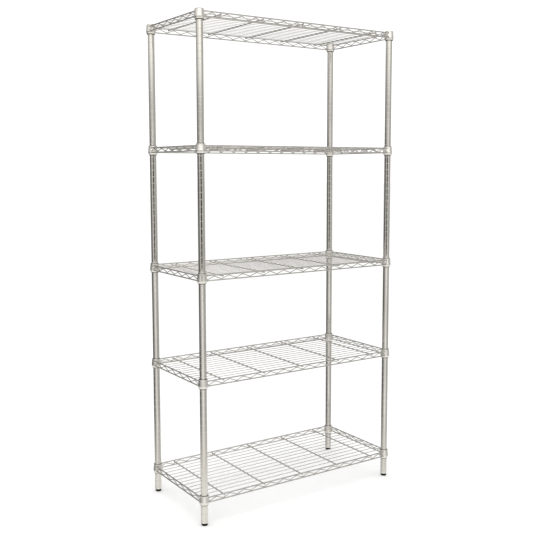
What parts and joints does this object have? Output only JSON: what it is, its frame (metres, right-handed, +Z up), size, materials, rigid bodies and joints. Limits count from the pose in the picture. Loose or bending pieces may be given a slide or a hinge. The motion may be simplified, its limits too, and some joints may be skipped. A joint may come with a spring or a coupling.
{
  "type": "wire shelving rack",
  "caption": "Free-standing chrome wire shelving rack: open wire shelves with zigzag-trussed edges, on grooved round posts with split sleeves and levelling feet.",
  "frame": {"origin": "centre of the footprint, at floor level", "axes": "+Z up; +X along the long side, to the right seen from the front; +Y from the front to the back"},
  "size_m": [0.903, 0.419, 1.8416],
  "materials": {
    "post_chrome": "bright chrome-plated steel tube",
    "wire_chrome": "bright chrome-plated welded steel wire",
    "zinc_steel": "zinc-plated steel",
    "black_plastic": "matt black moulded plastic"
  },
  "bodies": {
    "posts": {"lower_post_front_left": "post_chrome", "upper_post_front_left": "post_chrome", "joining_stud_front_left": "zinc_steel", "post_cap_front_left": "black_plastic", "foot_insert_front_left": "zinc_steel", "lower_post_front_right": "post_chrome", "upper_post_front_right": "post_chrome", "joining_stud_front_right": "zinc_steel", "post_cap_front_right": "black_plastic", "foot_insert_front_right": "zinc_steel", "lower_post_back_left": "post_chrome", "upper_post_back_left": "post_chrome", "joining_stud_back_left": "zinc_steel", "post_cap_back_left": "black_plastic", "foot_insert_back_left": "zinc_steel", "lower_post_back_right": "post_chrome", "upper_post_back_right": "post_chrome", "joining_stud_back_right": "zinc_steel", "post_cap_back_right": "black_plastic", "foot_insert_back_right": "zinc_steel", "split_sleeve_bottom_front_left": "black_plastic", "split_sleeve_bottom_front_right": "black_plastic", "split_sleeve_bottom_back_left": "black_plastic", "split_sleeve_bottom_back_right": "black_plastic", "split_sleeve_lower_front_left": "black_plastic", "split_sleeve_lower_front_right": "black_plastic", "split_sleeve_lower_back_left": "black_plastic", "split_sleeve_lower_back_right": "black_plastic", "split_sleeve_middle_front_left": "black_plastic", "split_sleeve_middle_front_right": "black_plastic", "split_sleeve_middle_back_left": "black_plastic", "split_sleeve_middle_back_right": "black_plastic", "split_sleeve_upper_front_left": "black_plastic", "split_sleeve_upper_front_right": "black_plastic", "split_sleeve_upper_back_left": "black_plastic", "split_sleeve_upper_back_right": "black_plastic", "split_sleeve_top_front_left": "black_plastic", "split_sleeve_top_front_right": "black_plastic", "split_sleeve_top_back_left": "black_plastic", "split_sleeve_top_back_right": "black_plastic"},
    "foot_front_left": {"foot_pad_front_left": "black_plastic", "foot_stud_front_left": "zinc_steel"},
    "foot_front_right": {"foot_pad_front_right": "black_plastic", "foot_stud_front_right": "zinc_steel"},
    "foot_back_left": {"foot_pad_back_left": "black_plastic", "foot_stud_back_left": "zinc_steel"},
    "foot_back_right": {"foot_pad_back_right": "black_plastic", "foot_stud_back_right": "zinc_steel"},
    "bottom_shelf": {"shelf_frame_bottom": "wire_chrome", "shelf_deck_bottom": "wire_chrome"},
    "lower_shelf": {"shelf_frame_lower": "wire_chrome", "shelf_deck_lower": "wire_chrome"},
    "middle_shelf": {"shelf_frame_middle": "wire_chrome", "shelf_deck_middle": "wire_chrome"},
    "upper_shelf": {"shelf_frame_upper": "wire_chrome", "shelf_deck_upper": "wire_chrome"},
    "top_shelf": {"shelf_frame_top": "wire_chrome", "shelf_deck_top": "wire_chrome"}
  },
  "joints": [
    {"name": "bottom_shelf_lift", "type": "slide", "parent": "posts", "child": "bottom_shelf", "axis": [0, 0, 1], "range_m": [0, 0.39]},
    {"name": "lower_shelf_lift", "type": "slide", "parent": "posts", "child": "lower_shelf", "axis": [0, 0, 1], "range_m": [0, 0.34]},
    {"name": "middle_shelf_lift", "type": "slide", "parent": "posts", "child": "middle_shelf", "axis": [0, 0, 1], "range_m": [0, 0.415]},
    {"name": "upper_shelf_lift", "type": "slide", "parent": "posts", "child": "upper_shelf", "axis": [0, 0, 1], "range_m": [0, 0.415]},
    {"name": "top_shelf_lift", "type": "slide", "parent": "posts", "child": "top_shelf", "axis": [0, 0, 1], "range_m": [0, 0.025]},
    {"name": "foot_level_front_left", "type": "slide", "parent": "posts", "child": "foot_front_left", "axis": [0, 0, -1], "range_m": [0, 0.012]},
    {"name": "foot_level_front_right", "type": "slide", "parent": "posts", "child": "foot_front_right", "axis": [0, 0, -1], "range_m": [0, 0.012]},
    {"name": "foot_level_back_left", "type": "slide", "parent": "posts", "child": "foot_back_left", "axis": [0, 0, -1], "range_m": [0, 0.012]},
    {"name": "foot_level_back_right", "type": "slide", "parent": "posts", "child": "foot_back_right", "axis": [0, 0, -1], "range_m": [0, 0.012]}
  ]
}
